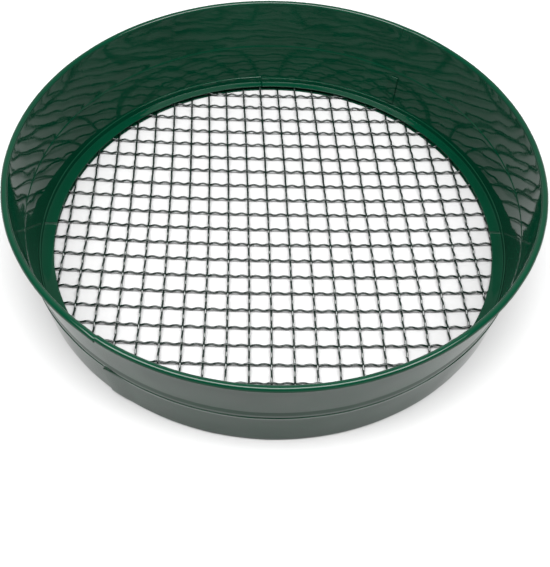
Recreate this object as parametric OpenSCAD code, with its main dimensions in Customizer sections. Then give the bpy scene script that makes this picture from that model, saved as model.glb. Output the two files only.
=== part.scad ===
// Soil sieve: a round riddle of painted sheet steel with a woven wire mesh.
// Two upper hoop halves with a wired rim nest inside two lower collar halves.
// The mesh lies on the collar's foot flange, and four clamp ring quarters hold it down.
// Origin at the centre of the foot, on the ground; +Z is the sieve's axis.

/* [Overall] */
// Diameter over the wired rim
rim_d = 370; // [200:1:600]
// How far the rim stands out beyond the foot, all round
flare = 12.25; // [4:0.25:25]
// Height from the ground to the top of the rim
height = 80; // [60:1:160]

/* [Sheet] */
// Thickness of the sheet steel
sheet = 0.8; // [0.6:0.1:1.5]
// Outside radius where a sheet is bent into a flange
bend_r = 2; // [1.7:0.1:3]
// Clearance between sheets that nest in each other
nest_gap = 0.1; // [0.05:0.01:0.3]

/* [Rim] */
// Diameter over the rolled rim
bead_d = 4.6; // [4.2:0.1:8]
// Clearance between the rolled rim and the wire inside it
rim_wire_gap = 0.05; // [0.02:0.01:0.2]
// Gap between the end of the curl and the wall
curl_gap = 0.15; // [0.1:0.01:0.6]

/* [Hoop and collar] */
// Height of the collar's top edge
collar_h = 34; // [22:0.5:42]
// Distance from the collar's top edge up to the start of the hoop's step
step_clear = 3.6; // [0.2:0.1:6]
// Height of the sloping step in the hoop
step_h = 3; // [2:0.1:8]
// Width of the collar's foot flange, under the mesh
foot_w = 9.5; // [6:0.25:25]

/* [Clamp ring] */
// Width of the clamp ring's flange, over the mesh
clamp_w = 8.6; // [6:0.1:25]
// Height of the clamp ring's upstand, from the underside of its flange
clamp_h = 4; // [3.5:0.1:10]
// Clearance between the mesh and the flanges above and below it
clamp_gap = 0.1; // [0.05:0.01:0.3]

/* [Seams] */
// Angle of the hoop halves' seam, counter-clockwise from +X
hoop_seam = 57; // [0:1:179]
// Angle of the collar halves' seam
collar_seam = 58; // [0:1:179]
// Angle of the first seam of the clamp ring
clamp_seam_a = 1; // [-30:1:30]
// Angle of its second seam
clamp_seam_b = 95; // [60:1:120]
// Angle of its third seam
clamp_seam_c = 181; // [150:1:210]
// Angle of its fourth seam
clamp_seam_d = 271; // [240:1:300]
// Gap between two pieces at a seam
seam_gap = 0.3; // [0.1:0.1:1]
// Length of the hoop's tab, which laps inside the next half
hoop_lap = 5; // [3:0.5:20]
// Length of the collar's tab, which laps over the next half
collar_lap = 10; // [3:0.5:20]

/* [Mesh] */
// Distance along a wire from one crest to the next
leg = 5.03; // [3.3:0.01:10]
// Diameter of the mesh wire
wire_d = 1.5; // [1:0.1:2]
// Crests along a wire for each wire that it crosses, an odd number
crests = 3; // [1:2:5]
// Clearance between two wires where they cross
cross_gap = 0.04; // [0.02:0.01:0.2]
// Distance from the ends of the wires to the hoop around them
wire_end_gap = 0.8; // [0.3:0.1:3]
// Angle that the mesh is turned from the X axis
mesh_turn = 2.65; // [-45:0.05:45]
// Distance of the nearest warp wire from the centre
warp_offset = -3.75; // [-5:0.05:5]
// Distance of the nearest weft wire from the centre
weft_offset = 2; // [-5:0.05:5]

/* [Hidden] */
paint = [0.08, 0.30, 0.22];
wire_paint = [0.07, 0.13, 0.10];
// The most wires that get a node each; a finer mesh puts two or more in one
most_wire_nodes = 50;
round_steps = 32;
tiny = 0.1;

// The wall is one cone: its outside meets the ground at base_d and the rim at rim_top_r.
base_d = rim_d - 2 * flare;
bead_z = height - bead_d / 2;
rim_slope = (rim_d / 2 - bead_d - base_d / 2) / (bead_z - sheet);
taper = atan(rim_slope);
sheet_h = sheet / cos(taper);
rim_top_r = rim_d / 2 - bead_d + sheet_h;
wall_slope = (rim_top_r - base_d / 2) / bead_z;
function wall_r(z) = base_d / 2 + wall_slope * z;

// Nesting order from the outside: collar, hoop skirt, clamp ring upstand.
layer = sheet_h + nest_gap;

// A wire's crests rise to crest_z, so that crossing wires clear each other by cross_gap.
pitch = leg * crests;
steepness = pow(wire_d / leg, 2);
crest_z = (cross_gap + sqrt(pow(cross_gap, 2) - (1 - steepness) * (pow(cross_gap, 2) - pow(wire_d, 2))))
    / (2 * (1 - steepness));
leg_tilt = atan(2 * crest_z / leg);
wire_height = wire_d / cos(leg_tilt);
mesh_half = crest_z + wire_height / 2;
mesh_z = sheet + clamp_gap + mesh_half;
clamp_z = mesh_z + mesh_half + clamp_gap;
clamp_top = clamp_z + clamp_h;
clamp_r = wall_r(clamp_z) - 2 * layer - clamp_w;
step_z = collar_h + step_clear;
skirt_z = sheet + nest_gap;
mesh_r = wall_r(skirt_z) - layer - sheet_h - wire_end_gap;

rim_wire_d = bead_d - 2 * sheet - 2 * rim_wire_gap;

// Wires are numbered outwards from the one nearest the centre, to both sides.
function last_wire(offset, side) = floor((mesh_r - wire_d - side * offset) / pitch);
warp_from = -last_wire(warp_offset, -1);
warp_to = last_wire(warp_offset, 1);
weft_from = -last_wire(weft_offset, -1);
weft_to = last_wire(weft_offset, 1);
warp_count = warp_to - warp_from + 1;
weft_count = weft_to - weft_from + 1;
wires_per_node = ceil((warp_count + weft_count) / most_wire_nodes);
warp_nodes = ceil(warp_count / wires_per_node);
weft_nodes = ceil(weft_count / wires_per_node);
function numbered(name, i) = str(name, i < 9 ? "_0" : "_", i + 1);

// Points on an arc about [r, z], from one angle to another
function arc(r, z, radius, from, to) =
    let (steps = ceil(abs(to - from) / 360 * round_steps))
    [for (i = [0 : steps])
        let (a = from + (to - from) * i / steps)
        [r + radius * cos(a), z + radius * sin(a)]];

// A turn about the axis from one seam to the next, with half the seam's gap left at each end
module seam_to_seam(from, to) {
    trim = asin(seam_gap / rim_d);
    part_turn(from + trim, to - trim) children();
}

// A stretch of a turn, from one angle to another
module part_turn(from, to) {
    rotate(from) rotate_extrude(angle = to - from, $fn = 180) children();
}

// Section of a strip of sheet that follows the wall, its outside set in from the wall's outside
module wall_strip(inset, thick, z0, z1) {
    polygon([
        [wall_r(z0) - inset - thick, z0], [wall_r(z0) - inset, z0],
        [wall_r(z1) - inset, z1], [wall_r(z1) - inset - thick, z1]]);
}

// Section of a wall with an inward flange at its foot, bent to bend_r
module flanged_section(inset, z0, z1, bore_r) {
    bend_z = z0 + bend_r;
    bend_at = wall_r(bend_z) - inset - bend_r / cos(taper);
    polygon(concat(
        [[bore_r, z0 + sheet], [bore_r, z0]],
        arc(bend_at, bend_z, bend_r, -90, -taper),
        [[wall_r(z1) - inset, z1], [wall_r(z1) - inset - sheet_h, z1]],
        arc(bend_at, bend_z, bend_r - sheet, -taper, -90)));
}

// Section of the hoop: a skirt inside the collar, a step out to the wall line and a curled rim
module hoop_section() {
    top_in = rim_top_r - sheet_h;
    curl_r = rim_d / 2 - bead_d / 2;
    curl_end = acos(1 - (sheet_h + curl_gap) / (bead_d / 2)) - 180;
    polygon(concat(
        [[wall_r(skirt_z) - layer - sheet_h, skirt_z],
         [wall_r(step_z) - layer - sheet_h, step_z],
         [wall_r(step_z + step_h) - sheet_h, step_z + step_h]],
        arc(curl_r, bead_z, bead_d / 2, 180, curl_end),
        arc(curl_r, bead_z, bead_d / 2 - sheet, curl_end, 180),
        [[wall_r(step_z + step_h), step_z + step_h],
         [wall_r(step_z) - layer, step_z],
         [wall_r(skirt_z) - layer, skirt_z]]));
}

// A tab that laps over the end of the next piece at a seam. It is a strip at that piece's other side,
// joined to its own piece just past the seam by a joggle block.
module lap_tab(seam, length, strip_inset, joggle_inset, z0, z1) {
    deg = length / (PI * base_d) * 360;
    past = 2 / (PI * base_d) * 360;
    part_turn(seam - deg, seam + past / 2)
        wall_strip(strip_inset, sheet_h, z0, z1);
    part_turn(seam + past / 4, seam + past)
        wall_strip(joggle_inset, sheet_h, z0 + tiny, z1 - tiny);
}

// A half of the hoop. Its tab laps inside the other half, between the clamp ring and the step.
module hoop_half(seam) {
    strip = layer + sheet_h + nest_gap;
    color(paint) {
        seam_to_seam(seam, seam + 180) hoop_section();
        lap_tab(seam, hoop_lap, strip, strip - sheet_h / 2, clamp_top + 1, step_z - 2);
    }
}

// A half of the collar. Its tab laps over the outside of the other half.
module collar_half(seam) {
    color(paint) {
        seam_to_seam(seam, seam + 180) flanged_section(0, 0, collar_h, base_d / 2 - foot_w);
        lap_tab(seam, collar_lap, -layer, -layer / 2, bend_r, collar_h);
    }
}

// A quarter of the ring that holds the mesh down. Its upstand is inside the hoop's skirt.
module clamp_quarter(from, to) {
    color(paint) seam_to_seam(from, to) flanged_section(2 * layer, clamp_z, clamp_top, clamp_r);
}

// The wire that the rim is rolled around
module rim_wire() {
    color("dimgray") translate([0, 0, bead_z])
        rotate_extrude($fn = 180) translate([rim_d / 2 - bead_d / 2, 0]) circle(d = rim_wire_d, $fn = 32);
}

// Height of a crimped wire's centre line at s, measured from a crest. Its bends are sharp and its
// section is square here, both of the true size.
function crimp(s) =
    let (m = floor(s / leg))
    (m % 2 == 0 ? 1 : -1) * (1 - 2 * (s / leg - m)) * crest_z;

// A crimped wire along X at y = offset. It has a crest at start, which is up or down.
module crimped_wire(offset, start, up) {
    reach = sqrt(pow(mesh_r, 2) - pow(offset, 2));
    first = ceil((tiny - reach - start) / leg);
    last = floor((reach - tiny - start) / leg);
    stops = concat([-reach], [for (m = [first : last]) start + m * leg], [reach]);
    top = [for (s = stops) [s, up * crimp(s - start) + wire_height / 2]];
    bottom = [for (i = [len(stops) - 1 : -1 : 0]) top[i] - [0, wire_height]];
    translate([0, offset + wire_d / 2, mesh_z])
        rotate([90, 0, 0]) linear_extrude(wire_d) polygon(concat(top, bottom));
}

// The wires of one warp node, which run along Y
module warp_wires(n) {
    color(wire_paint) rotate(mesh_turn)
        for (i = [n * wires_per_node : min((n + 1) * wires_per_node, warp_count) - 1]) {
            k = warp_from + i;
            rotate(90) mirror([0, 1, 0])
                crimped_wire(warp_offset + k * pitch, weft_offset, k % 2 == 0 ? 1 : -1);
        }
}

// The wires of one weft node, which run along X
module weft_wires(n) {
    color(wire_paint) rotate(mesh_turn)
        for (i = [n * wires_per_node : min((n + 1) * wires_per_node, weft_count) - 1]) {
            k = weft_from + i;
            crimped_wire(weft_offset + k * pitch, warp_offset, k % 2 == 0 ? -1 : 1);
        }
}

hoop_half(hoop_seam);  // hoop_half_left
hoop_half(hoop_seam + 180);  // hoop_half_right
rim_wire();
collar_half(collar_seam);  // collar_half_left
collar_half(collar_seam + 180);  // collar_half_right
clamp_quarter(clamp_seam_a, clamp_seam_b);  // clamp_ring_back_right
clamp_quarter(clamp_seam_b, clamp_seam_c);  // clamp_ring_back_left
clamp_quarter(clamp_seam_c, clamp_seam_d);  // clamp_ring_front_left
clamp_quarter(clamp_seam_d, clamp_seam_a + 360);  // clamp_ring_front_right
for (i = [0 : warp_nodes - 1])
    warp_wires(i);
for (i = [0 : weft_nodes - 1])
    weft_wires(i);
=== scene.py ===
"""Looks of the soil sieve.

Lengths are in millimetres until a mesh is made. Seams are in degrees, and the angle that a shape
function takes is in radians.
"""

import math

import bpy
import numpy as np
from mathutils import Matrix, Vector


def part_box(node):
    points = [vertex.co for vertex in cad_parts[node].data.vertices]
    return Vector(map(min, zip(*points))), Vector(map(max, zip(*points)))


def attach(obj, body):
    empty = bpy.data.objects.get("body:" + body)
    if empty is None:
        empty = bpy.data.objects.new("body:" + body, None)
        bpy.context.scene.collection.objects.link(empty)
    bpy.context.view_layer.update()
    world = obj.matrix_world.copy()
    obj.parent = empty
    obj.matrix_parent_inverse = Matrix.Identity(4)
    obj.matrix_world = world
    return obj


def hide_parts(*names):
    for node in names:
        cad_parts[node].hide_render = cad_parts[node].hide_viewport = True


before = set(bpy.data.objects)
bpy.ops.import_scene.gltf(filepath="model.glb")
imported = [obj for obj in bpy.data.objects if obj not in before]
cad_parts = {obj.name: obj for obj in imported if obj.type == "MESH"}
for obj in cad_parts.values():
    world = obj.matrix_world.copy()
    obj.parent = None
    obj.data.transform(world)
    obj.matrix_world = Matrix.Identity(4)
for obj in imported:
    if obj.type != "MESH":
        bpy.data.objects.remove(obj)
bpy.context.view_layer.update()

MM = 0.001

# The sieve
RIM_R = 185.0
BASE_R = 172.75
HEIGHT = 80.0
SHEET = 0.8
NEST_GAP = 0.1
BEND_R = 2.0
BEAD_D = 4.6
CURL_GAP = 0.15
COLLAR_H = 34.0
FOOT_W = 9.5
EDGE = 0.25

# The hoop's step on the outside, where it comes out to meet the collar, and its crease on the inside
STEP_Z = 37.2
STEP_H = 3.6
STEP_BEND = 2.0
STEP_IN = 0.6
LEDGE_GAP = 0.05
CREASE_Z = 39.4
CREASE_H = 0.8
CREASE_BEND = 0.4
CREASE_SHOWS = 0.4

# The collar's top edge, which stands a little proud
LIP_H = 2.4
LIP_PROUD = 0.35
LIP_CUT = 0.3

# The clamp ring
CLAMP_BEND_R = 1.2
CLAMP_W = 8.6
CLAMP_CUT_OUT = 0.1
CLAMP_CUT_IN = 0.5

# How much narrower the flanges are at the back, and how much wider at the left
BACK_NARROWS = 2.4
LEFT_WIDENS = 0.8

# Seams, as angles counter-clockwise from +X
HOOP_SEAM = 57.0
COLLAR_SEAM = 58.0
SEAM_GAP = 0.3
WALL_SEAM_GAP = 0.02

# The clamp ring's quarters: name, first seam, last seam, and rise of the upstand at each of them
QUARTERS = [("back_right", 1.0, 95.0, (0.2, 1.0)), ("back_left", 95.0, 181.0, (2.4, 0.2)),
            ("front_left", 181.0, 271.0, (0.0, 0.0)), ("front_right", 271.0, 361.0, (0.0, 0.0))]
SEAM_LIP = 0.7
SEAM_LIP_W = 1.1

# The rim at a hoop seam: one end is pushed out and down, the other in
RIM_OUT = 0.35
RIM_DOWN = 0.45
RIM_OUT_W = 9.0
RIM_IN = 0.15
RIM_IN_W = 7.0

# The hoop's lap tab
HOOP_LAP = 5.0
HOOP_TAB_ROOT = 1.0
TAB_OVER_CLAMP = 1.0
TAB_UNDER_STEP = 2.0

# The collar's lap tab. Its root, its slope and its cut corner are as long as so many laps
COLLAR_LAP = 10.0
TAB_ROOT_LAPS = 1.2
TAB_SLOPE_LAPS = 2.2
TAB_CORNER_LAPS = 0.6
TAB_CORNER_H = 8.0
TAB_CORNER_DROP = 1.8
DENT = 0.3
DENT_W = 0.8

# The sheet's unevenness: lobes round the hoop as (count, phase, size), and slanting waves, of which
# WAVE_TURNS go to a turn; their size is WAVE_SIZE over that number, times a random share
LOBES = [(2, 0.7, 0.12), (5, 1.9, 0.05)]
WAVE_COUNT = 48
WAVE_TURNS = (8, 60)
WAVE_HEIGHT = 28
WAVE_SIZE = 0.16

# The mesh
LEG = 5.03
CRESTS = 3
WIRE_D = 1.5
PITCH = LEG * CRESTS
CREST_GAP = 0.01
CREST_Z = WIRE_D / 2 + CREST_GAP
MESH_TURN = 2.65
WARP_OFFSET = -3.75
WEFT_OFFSET = 2.0
DRIFT_MAX = 8.0

# A wire's sway as (size, length), the length being that of one radian, and how far wires are misplaced
SWAYS = [(0.12, 47), (0.06, 13)]
FULL_TURN = 6.28
MISPLACED = 0.08

# How fine the meshes are; the pairs are for the sheet's outer and inner face
WIRE_SIDES = 12
RINGS_PER_LEG = 6
DEG_PER_STEP = 0.75
ROW_HEIGHT = 3.0
BEND_STEPS = (10, 8)
CURL_STEPS = (40, 24)
FINE_STEP = 0.12
FINE_STEPS = 20

# Noise textures: features per metre, and the range that holds nearly all of their values
CLOUDS = 30
PATCHES = 90
PEEL = 420
STEEL_LINES = 900
PAPER = 3
NOISE_LOW = 0.3
NOISE_HIGH = 0.7

# The room, in metres: lights are (name, place, width, depth, power, whether gloss reflects it)
LIGHTS = [("key", (0.0, -0.38, 1.5), 2.6, 0.7, 130, True), ("fill", (0.0, 0.0, 1.6), 6.0, 6.0, 105, False)]
FLOOR_REACH = 2.5

# Greys as (position, tone): the floor from its middle out, painted darker within the sieve's foot as painted
# shade, the room towards +Y, and the room upwards
FLOOR_SHADE_TONES = [(0.166, 0.235), (0.172, 0.30)]
BACK_TONES = [(0.0, 0.08), (0.4, 0.4), (0.66, 0.8), (1.0, 1.0)]
HORIZON_TONES = [(0.0, 1.0), (0.1, 1.0), (0.3, 0.0)]

# Levels that come from the frame
mesh_low, mesh_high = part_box("weft_wire_12")
mesh_z = (mesh_low.z + mesh_high.z) / 2 / MM
clamp_low, clamp_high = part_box("clamp_ring_back_right")
clamp_z = clamp_low.z / MM
clamp_top = clamp_high.z / MM
skirt_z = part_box("hoop_half_left")[0].z / MM

bead_z = HEIGHT - BEAD_D / 2
taper = math.atan((RIM_R - BEAD_D - BASE_R) / (bead_z - SHEET))
sheet_h = SHEET / math.cos(taper)
layer = sheet_h + NEST_GAP
rim_top_r = RIM_R - BEAD_D + sheet_h
wall_slope = (rim_top_r - BASE_R) / bead_z
mesh_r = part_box("weft_wire_12")[1].x / MM


def wall_r(z):
    """Radius of the wall's outside at height z."""
    return BASE_R + wall_slope * z


# ---------------------------------------------------------------- outlines


def arc(r, z, radius, start, end, steps):
    """Points on an arc, both ends included."""
    angles = np.radians(np.linspace(start, end, steps + 1))
    return [(r + radius * math.cos(a), z + radius * math.sin(a)) for a in angles]


def rounded(corners, steps=5):
    """A closed outline through corners (r, z, radius), each rounded to its radius."""
    nearly_straight = math.radians(89.5)
    share_of_side = 0.45
    outline = []
    for i, (r, z, radius) in enumerate(corners):
        here = np.array([r, z])
        back = np.array(corners[i - 1][:2]) - here
        ahead = np.array(corners[(i + 1) % len(corners)][:2]) - here
        back_len, ahead_len = np.linalg.norm(back), np.linalg.norm(ahead)
        back, ahead = back / back_len, ahead / ahead_len
        half = math.acos(np.clip(back @ ahead, -1, 1)) / 2
        if radius <= 0 or half > nearly_straight:
            outline.append((r, z))
            continue
        reach = min(radius / math.tan(half), share_of_side * back_len, share_of_side * ahead_len)
        start, end = here + back * reach, here + ahead * reach
        for t in np.linspace(0, 1, steps + 1):
            point = (1 - t) ** 2 * start + 2 * t * (1 - t) * here + t * t * end
            outline.append(tuple(point))
    return outline


def split_long(outline, longest=ROW_HEIGHT):
    """The closed outline with extra points, so that no side is longer than longest."""
    points = []
    for i, (r, z) in enumerate(outline):
        nr, nz = outline[(i + 1) % len(outline)]
        parts = max(1, math.ceil(math.hypot(nr - r, nz - z) / longest))
        for k in range(parts):
            points.append((r + (nr - r) * k / parts, z + (nz - z) * k / parts))
    return points


def back_bore(angle, r):
    """Moves a flange's inner edge out at the back, where the flange is narrower, and in at the left."""
    root = BEND_R + 1
    t = np.clip((BASE_R - root - r) / (FOOT_W - root), 0, 1)
    at_back = np.clip(np.sin(angle), 0, 1) ** 2
    at_left = np.clip(-np.cos(angle), 0, 1) ** 2
    return r + t * (BACK_NARROWS * at_back - LEFT_WIDENS * at_left)


def flanged(inset, z0, z1, bore_r, bend_r, cut_out, cut_in, proud=0):
    """Outline of a wall with an inward flange at its foot.

    Its top edge is cut back by cut_out outside and cut_in inside, and its outside stands out by proud.
    """
    bend_z = z0 + bend_r
    bend_at = wall_r(bend_z) - inset - bend_r / math.cos(taper)
    lean = math.degrees(taper)
    return rounded([(bore_r, z0 + SHEET, EDGE), (bore_r, z0, EDGE)]
                   + [(r, z, 0) for r, z in arc(bend_at, bend_z, bend_r, -90, -lean, BEND_STEPS[0])]
                   + [(wall_r(z1 - LIP_H) - inset, z1 - LIP_H, LIP_H / 2),
                      (wall_r(z1) - inset + proud, z1 - cut_out / 2, cut_out / 2),
                      (wall_r(z1) - inset - sheet_h, z1 - cut_in / 2, cut_in / 2)]
                   + [(r, z, 0) for r, z in arc(bend_at, bend_z, bend_r - SHEET, -lean, -90, BEND_STEPS[1])])


def hoop_outline():
    """Outline of the hoop: skirt, step, wall and curled rim."""
    curl_r = RIM_R - BEAD_D / 2
    curl_end = math.degrees(math.acos(1 - (sheet_h + CURL_GAP) / (BEAD_D / 2))) - 180
    step_top = STEP_Z + STEP_H
    crease_top = CREASE_Z + CREASE_H
    return rounded(
        [(wall_r(skirt_z) - layer - sheet_h, skirt_z, EDGE),
         (wall_r(CREASE_Z) - CREASE_SHOWS - sheet_h, CREASE_Z, CREASE_BEND),
         (wall_r(crease_top) - sheet_h, crease_top, CREASE_BEND)]
        + [(r, z, 0) for r, z in arc(curl_r, bead_z, BEAD_D / 2, 180, curl_end, CURL_STEPS[0])]
        + [(r, z, 0) for r, z in arc(curl_r, bead_z, BEAD_D / 2 - SHEET, curl_end, 180, CURL_STEPS[1])]
        + [(wall_r(step_top) - STEP_IN, step_top, STEP_BEND),
           (wall_r(STEP_Z) - LEDGE_GAP, STEP_Z, STEP_BEND),
           (wall_r(COLLAR_H) - LEDGE_GAP, COLLAR_H + NEST_GAP / 2, 0),
           (wall_r(COLLAR_H) - layer, COLLAR_H - NEST_GAP, 0),
           (wall_r(skirt_z) - layer, skirt_z, EDGE)])


def strip_outline(inset, z0, z1):
    """Outline of a strip of sheet that follows the wall."""
    return rounded([(wall_r(z0) - inset - sheet_h, z0, EDGE), (wall_r(z0) - inset, z0, EDGE),
                    (wall_r(z1) - inset, z1, EDGE), (wall_r(z1) - inset - sheet_h, z1, EDGE)], 3)


# ---------------------------------------------------------------- meshes

waves = np.random.default_rng(7)
wave_turns = waves.integers(*WAVE_TURNS, WAVE_COUNT)
wave_rise = waves.uniform(-1, 1, WAVE_COUNT) * 2 * math.pi / WAVE_HEIGHT
wave_phase = waves.uniform(0, 2 * math.pi, WAVE_COUNT)
wave_size = WAVE_SIZE / wave_turns * waves.uniform(0.5, 1.5, WAVE_COUNT)


def sheet_wave(angle, z):
    """How far the rolled sheet stands out from a true cone, because no hand-rolled hoop is quite round."""
    out = sum(size * np.sin(count * angle + phase) for count, phase, size in LOBES)
    for turns, rise, phase, size in zip(wave_turns, wave_rise, wave_phase, wave_size):
        out = out + size * np.sin(turns * angle + rise * z + phase)
    return out


def new_mesh(name, verts, faces, sharp=35):
    """A mesh object from vertices in millimetres, smooth but for edges sharper than `sharp` degrees."""
    mesh = bpy.data.meshes.new(name)
    mesh.from_pydata((np.asarray(verts) * MM).tolist(), [], faces)
    mesh.validate()
    mesh.shade_smooth()
    mesh.set_sharp_from_angle(angle=math.radians(sharp))
    piece = bpy.data.objects.new(name, mesh)
    bpy.context.scene.collection.objects.link(piece)
    return piece


def turned(outline, start, end, shape=None, finer=()):
    """Vertices and faces of an outline turned about the axis from start to end, with closed ends.

    Steps are smaller near the angles in finer.
    """
    outline = np.array(split_long(outline))
    steps = max(2, math.ceil((end - start) / DEG_PER_STEP))
    angles = np.linspace(start, end, steps + 1)
    for seam in finer:
        close = seam + np.arange(-FINE_STEPS, FINE_STEPS + 1) * degrees_of(FINE_STEP)
        angles = np.concatenate([angles, close[(close > start) & (close < end)]])
    angles = np.radians(np.unique(np.round(angles, 5)))
    steps = len(angles) - 1
    angle = np.repeat(angles[:, None], len(outline), 1)
    r = np.repeat(outline[None, :, 0], steps + 1, 0)
    z = np.repeat(outline[None, :, 1], steps + 1, 0)
    if shape is not None:
        r, z = shape(angle, r, z)
    r = r + sheet_wave(angle, z)
    verts = np.stack([r * np.cos(angle), r * np.sin(angle), z], -1).reshape(-1, 3)
    n = len(outline)
    faces = []
    for i in range(steps):
        for k in range(n):
            a, b = i * n + k, i * n + (k + 1) % n
            faces.append((a, a + n, b + n, b))
    faces.append(tuple(range(n)))
    faces.append(tuple(range(steps * n + n - 1, steps * n - 1, -1)))
    return verts, faces


def joined(*solids):
    """Several (verts, faces) as one."""
    verts, faces, base = [], [], 0
    for v, f in solids:
        verts.append(v)
        faces += [tuple(i + base for i in face) for face in f]
        base += len(v)
    return np.concatenate(verts), faces


def degrees_of(length):
    """The angle that a length takes up along the foot."""
    return math.degrees(length / BASE_R)


def near(angle, seam, length):
    """1 at a seam, falling smoothly to 0 at length from it."""
    away = np.abs((np.degrees(angle) - seam + 180) % 360 - 180)
    t = np.clip(1 - away / degrees_of(length), 0, 1)
    return t * t * (3 - 2 * t)


# ---------------------------------------------------------------- sheet pieces


def hoop_half(name, node, seam, material):
    """A half of the hoop with its lap tab."""
    def shape(angle, r, z):
        in_bead = np.clip((z - (bead_z - BEAD_D)) / BEAD_D, 0, 1)
        pushed = near(angle, seam + 180, RIM_OUT_W) * in_bead
        return r + RIM_OUT * pushed - RIM_IN * near(angle, seam, RIM_IN_W) * in_bead, z - RIM_DOWN * pushed

    half_gap = degrees_of(WALL_SEAM_GAP / 2)
    tab = strip_outline(layer + sheet_h + NEST_GAP, clamp_top + TAB_OVER_CLAMP, STEP_Z - TAB_UNDER_STEP)
    piece = new_mesh(name, *joined(
        turned(hoop_outline(), seam + half_gap, seam + 180 - half_gap, shape),
        turned(tab, seam - degrees_of(HOOP_LAP), seam + degrees_of(HOOP_TAB_ROOT))))
    finish_piece(piece, material, node)
    return piece


def collar_half(name, node, seam, material):
    """A half of the collar with its lap tab, and a dent where the other half's tab ends.

    The tab lies over the other half. Its free top corner is cut round.
    """
    half_gap = degrees_of(SEAM_GAP / 2)
    lap = degrees_of(COLLAR_LAP)

    def lift(angle, r, z):
        from_end = np.degrees(angle) - (seam - lap)
        t = np.clip(from_end / (TAB_SLOPE_LAPS * lap), 0, 1)
        out = layer * (1 - t * t * (3 - 2 * t))
        corner = np.clip(1 - from_end / (TAB_CORNER_LAPS * lap), 0, 1)
        high = np.clip((z - (COLLAR_H - TAB_CORNER_H)) / TAB_CORNER_H, 0, 1)
        return r + out, z - TAB_CORNER_DROP * corner ** 2 * high

    def dented(angle, r, z):
        return back_bore(angle, r) - DENT * near(angle, seam + 180 - lap, DENT_W), z

    outline = flanged(0, 0, COLLAR_H, BASE_R - FOOT_W, BEND_R, LIP_CUT, 0, LIP_PROUD)
    tab = strip_outline(0, BEND_R, COLLAR_H)
    piece = new_mesh(name, *joined(
        turned(outline, seam + half_gap, seam + 180 - half_gap, dented, finer=(seam + 180 - lap,)),
        turned(tab, seam - lap, seam + TAB_ROOT_LAPS * lap, lift)))
    finish_piece(piece, material, node)
    return piece


def clamp_quarter(name, node, start, end, rises, material):
    """A quarter of the clamp ring, its upstand higher than the CAD's by rises[0] to rises[1]."""
    half_gap = degrees_of(SEAM_GAP / 2)
    bore_r = wall_r(clamp_z) - 2 * layer - CLAMP_W
    outline = flanged(2 * layer, clamp_z, clamp_top, bore_r, CLAMP_BEND_R, CLAMP_CUT_OUT, CLAMP_CUT_IN)

    def shape(angle, r, z):
        share = (np.degrees(angle) - start) / (end - start)
        high = np.clip((z - clamp_z - BEND_R) / (clamp_top - clamp_z - BEND_R), 0, 1)
        lift = high * (rises[0] + (rises[1] - rises[0]) * share)
        lip = near(angle, start, SEAM_LIP_W) + near(angle, end, SEAM_LIP_W)
        flat = np.clip((z - clamp_z - SHEET / 2) / (SHEET / 2), 0, 1)
        return back_bore(angle, r) + wall_slope * lift, z + lift + SEAM_LIP * lip * flat * (1 - high)

    piece = new_mesh(name, *turned(outline, start + half_gap, end - half_gap, shape,
                                   finer=(start, end)))
    finish_piece(piece, material, node)
    return piece


# ---------------------------------------------------------------- mesh wires

bends = np.random.default_rng(11)


def drift(x, y):
    """How far the mesh has been pulled out of square at a point, along its X and its Y."""
    u, v = x / mesh_r, y / mesh_r
    along_x = 0.3 - 2.2 * v - 3.0 * v * v - 2.1 * u * v + 0.5 * u * u
    along_y = -1.4 - 4.3 * u + 0.7 * v + 5.3 * u * u + 3.8 * v * v - 1.0 * u * v
    return along_x, along_y


def crimped_wire(name, node, offset, start, up, along_y, material):
    """A round wire that runs along the mesh's X, or Y, at an offset.

    At start it has a crest if up is 1, and a trough if up is -1.
    """
    reach = math.sqrt(mesh_r ** 2 - offset ** 2) + DRIFT_MAX
    s = np.linspace(-reach, reach, math.ceil(2 * reach / (LEG / RINGS_PER_LEG)) + 1)
    hold = min(1, (mesh_r - abs(offset)) / DRIFT_MAX)
    ends = drift(offset, s) if along_y else drift(s, offset)
    x, y = (offset, s) if along_y else (s, offset)
    s = s[np.hypot(x + hold * ends[0], y + hold * ends[1]) < mesh_r]
    turn = math.pi / LEG
    lift = up * CREST_Z * np.cos(turn * (s - start))
    slope = -up * CREST_Z * turn * np.sin(turn * (s - start))
    sway = sum(size * np.sin(s / length + bends.uniform(0, FULL_TURN)) for size, length in SWAYS)
    side = offset + sway + bends.normal(0, MISPLACED)
    around = np.linspace(0, 2 * math.pi, WIRE_SIDES, endpoint=False)
    length = np.sqrt(1 + slope ** 2)
    ring_u = np.cos(around)[None, :] * WIRE_D / 2
    ring_v = np.sin(around)[None, :] * WIRE_D / 2
    x = s[:, None] - (slope / length)[:, None] * ring_v
    y = side[:, None] + ring_u
    z = mesh_z + lift[:, None] + (1 / length)[:, None] * ring_v
    middle_x, middle_y = s, side
    if along_y:
        x, y, z = y[:, ::-1], x[:, ::-1], z[:, ::-1]
        middle_x, middle_y = side, s
    pull_x, pull_y = drift(middle_x, middle_y)
    x = x + hold * pull_x[:, None]
    y = y + hold * pull_y[:, None]
    c, d = math.cos(math.radians(MESH_TURN)), math.sin(math.radians(MESH_TURN))
    verts = np.stack([c * x - d * y, d * x + c * y, z], -1).reshape(-1, 3)
    n = WIRE_SIDES
    faces = [(i * n + k, i * n + (k + 1) % n, (i + 1) * n + (k + 1) % n, (i + 1) * n + k)
             for i in range(len(s) - 1) for k in range(n)]
    faces.append(tuple(range(n - 1, -1, -1)))
    faces.append(tuple(range((len(s) - 1) * n, len(s) * n)))
    piece = new_mesh(name, verts, faces, sharp=60)
    finish_piece(piece, material, node)
    return piece


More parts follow.
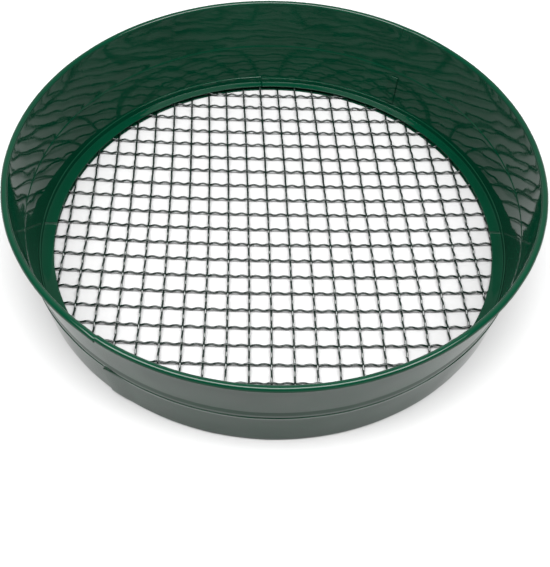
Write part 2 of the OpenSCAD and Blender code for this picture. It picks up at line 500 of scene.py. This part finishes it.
def weave(material):
    """All the wires, each with the number of the CAD wire that it stands for."""
    for kind, along_y, offset, start, sign in (("warp", True, WARP_OFFSET, WEFT_OFFSET, 1),
                                               ("weft", False, WEFT_OFFSET, WARP_OFFSET, -1)):
        first = -math.floor((mesh_r - WIRE_D + offset) / PITCH)
        last = math.floor((mesh_r - WIRE_D - offset) / PITCH)
        for k in range(first, last + 1):
            number = f"{k - first + 1:02d}"
            crimped_wire(f"{kind}_{number}", f"{kind}_wire_{number}", offset + k * PITCH, start,
                         sign * (1 if k % 2 == 0 else -1), along_y, material)


# ---------------------------------------------------------------- materials


def finish_piece(piece, material, node):
    """Gives a piece its material and body, and hides the CAD node that it stands for."""
    piece.data.materials.append(material)
    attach(piece, "root")
    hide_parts(node)


def node_material(name):
    """An empty material with its Principled shader."""
    material = bpy.data.materials.new(name)
    material.use_nodes = True
    tree = material.node_tree
    return material, tree, tree.nodes["Principled BSDF"]


def noise(tree, scale, detail=2.0):
    """The value of a noise texture over the object's own metres."""
    coords = tree.nodes.new("ShaderNodeTexCoord")
    texture = tree.nodes.new("ShaderNodeTexNoise")
    texture.inputs["Scale"].default_value = scale
    texture.inputs["Detail"].default_value = detail
    tree.links.new(coords.outputs["Object"], texture.inputs["Vector"])
    return texture.outputs["Fac"]


def ramp(tree, value, stops):
    """A colour ramp over a value, with stops (position, colour)."""
    node = tree.nodes.new("ShaderNodeValToRGB")
    elements = node.color_ramp.elements
    while len(elements) < len(stops):
        elements.new(0.5)
    for element, (position, colour) in zip(elements, stops):
        element.position = position
        element.color = (*colour, 1)
    tree.links.new(value, node.inputs["Fac"])
    return node.outputs["Color"]


def greys(tones):
    """Colour stops from (position, tone)."""
    return [(position, (tone, tone, tone)) for position, tone in tones]


def spread(tree, value, low, high):
    """A noise's value spread over low to high."""
    node = tree.nodes.new("ShaderNodeMapRange")
    node.inputs["From Min"].default_value = NOISE_LOW
    node.inputs["From Max"].default_value = NOISE_HIGH
    node.inputs["To Min"].default_value = low
    node.inputs["To Max"].default_value = high
    tree.links.new(value, node.inputs["Value"])
    return node.outputs["Result"]


def bump(tree, height, distance):
    """A bump from a height, its distance in metres."""
    node = tree.nodes.new("ShaderNodeBump")
    node.inputs["Distance"].default_value = distance
    node.inputs["Strength"].default_value = 1.0
    tree.links.new(height, node.inputs["Height"])
    return node.outputs["Normal"]


def gloss_paint(name, dark, light, rough, peel, ior):
    """Gloss enamel: a slightly uneven coat over metal, with orange peel."""
    material, tree, shader = node_material(name)
    coat = ramp(tree, noise(tree, CLOUDS, detail=3), [(NOISE_LOW, dark), (NOISE_HIGH, light)])
    tree.links.new(coat, shader.inputs["Base Color"])
    tree.links.new(spread(tree, noise(tree, PATCHES), *rough), shader.inputs["Roughness"])
    tree.links.new(bump(tree, noise(tree, PEEL), peel), shader.inputs["Normal"])
    shader.inputs["IOR"].default_value = ior
    return material


def bare_steel(name, dark, light, rough):
    """Drawn steel wire, which the curled rim hides but for the gap at its seams."""
    material, tree, shader = node_material(name)
    lines = noise(tree, STEEL_LINES, detail=3)
    tree.links.new(ramp(tree, lines, [(NOISE_LOW, dark), (NOISE_HIGH, light)]), shader.inputs["Base Color"])
    tree.links.new(spread(tree, lines, *rough), shader.inputs["Roughness"])
    shader.inputs["Metallic"].default_value = 1.0
    return material


# ---------------------------------------------------------------- stage


def lay_floor():
    """A pale matt floor with painted shade: its colour is darker within the sieve's foot, standing in for
    the shade of the walls.
    """
    corners = [(-1, -1, 0), (1, -1, 0), (1, 1, 0), (-1, 1, 0)]
    mesh = bpy.data.meshes.new("floor")
    mesh.from_pydata([Vector(corner) * FLOOR_REACH for corner in corners], [], [(0, 1, 2, 3)])
    floor = bpy.data.objects.new("floor", mesh)
    bpy.context.scene.collection.objects.link(floor)
    material, tree, shader = node_material("floor_with_painted_shade")
    coords = tree.nodes.new("ShaderNodeTexCoord")
    away = tree.nodes.new("ShaderNodeVectorMath")
    away.operation = "LENGTH"
    tree.links.new(coords.outputs["Object"], away.inputs[0])
    # Painted shade: the floor's colour is darker within the sieve's foot
    tree.links.new(ramp(tree, away.outputs["Value"], greys(FLOOR_SHADE_TONES)), shader.inputs["Base Color"])
    tree.links.new(spread(tree, noise(tree, PAPER), 0.85, 0.95), shader.inputs["Roughness"])
    mesh.materials.append(material)


def light_room():
    """A room that is dark in front and above, brighter behind and white at its horizon, and its lights."""
    world = bpy.data.worlds.new("studio")
    world.use_nodes = True
    tree = world.node_tree
    coords = tree.nodes.new("ShaderNodeTexCoord")
    parts = tree.nodes.new("ShaderNodeSeparateXYZ")
    tree.links.new(coords.outputs["Generated"], parts.inputs["Vector"])
    both = tree.nodes.new("ShaderNodeVectorMath")
    both.operation = "ADD"
    tree.links.new(ramp(tree, parts.outputs["Y"], greys(BACK_TONES)), both.inputs[0])
    tree.links.new(ramp(tree, parts.outputs["Z"], greys(HORIZON_TONES)), both.inputs[1])
    tree.links.new(both.outputs["Vector"], tree.nodes["Background"].inputs["Color"])
    tree.nodes["Background"].inputs["Strength"].default_value = 1.0
    bpy.context.scene.world = world

    for name, place, width, depth, power, in_gloss in LIGHTS:
        light = bpy.data.lights.new(name, "AREA")
        light.shape = "RECTANGLE"
        light.size = width
        light.size_y = depth
        light.energy = power
        lamp = bpy.data.objects.new(name, light)
        lamp.location = place
        lamp.visible_glossy = in_gloss
        bpy.context.scene.collection.objects.link(lamp)


def camera():
    """The camera: from the front, looking down, tipped a little about its own axis."""
    distance = 0.6624
    elevation = math.radians(48.82)
    roll = math.radians(1.96)
    data = bpy.data.cameras.new("camera")
    data.sensor_fit = "VERTICAL"
    data.sensor_height = 36
    data.lens = 55.82
    data.shift_x = 0.0031
    data.shift_y = -0.0943
    view = bpy.data.objects.new("camera", data)
    target = Vector((0, 0, mesh_z * MM))
    view.location = target + distance * Vector((0, -math.cos(elevation), math.sin(elevation)))
    facing = (target - view.location).to_track_quat("-Z", "Y").to_matrix()
    view.rotation_euler = (facing @ Matrix.Rotation(roll, 3, "Z")).to_euler()
    bpy.context.scene.collection.objects.link(view)
    bpy.context.scene.camera = view


# ---------------------------------------------------------------- the sieve

sheet_paint = gloss_paint("sheet_paint", dark=(0.0003, 0.0155, 0.0072), light=(0.0005, 0.0185, 0.0087),
                          rough=(0.03, 0.06), peel=0.000010, ior=1.28)
wire_paint = gloss_paint("wire_paint", dark=(0.0006, 0.004, 0.0025), light=(0.0009, 0.006, 0.0038),
                         rough=(0.06, 0.12), peel=0.00001, ior=1.46)
rim_steel = bare_steel("rim_steel", dark=(0.20, 0.20, 0.20), light=(0.42, 0.41, 0.40), rough=(0.3, 0.55))

hoop_half("hoop_left", "hoop_half_left", HOOP_SEAM, sheet_paint)
hoop_half("hoop_right", "hoop_half_right", HOOP_SEAM + 180, sheet_paint)
collar_half("collar_left", "collar_half_left", COLLAR_SEAM, sheet_paint)
collar_half("collar_right", "collar_half_right", COLLAR_SEAM + 180, sheet_paint)
for place, start, end, rises in QUARTERS:
    clamp_quarter(f"clamp_{place}", f"clamp_ring_{place}", start, end, rises, sheet_paint)
weave(wire_paint)

rim_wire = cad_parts["rim_wire"]
rim_wire.data.materials.clear()
rim_wire.data.materials.append(rim_steel)

lay_floor()
light_room()
camera()
bpy.context.scene.view_settings.view_transform = "Standard"
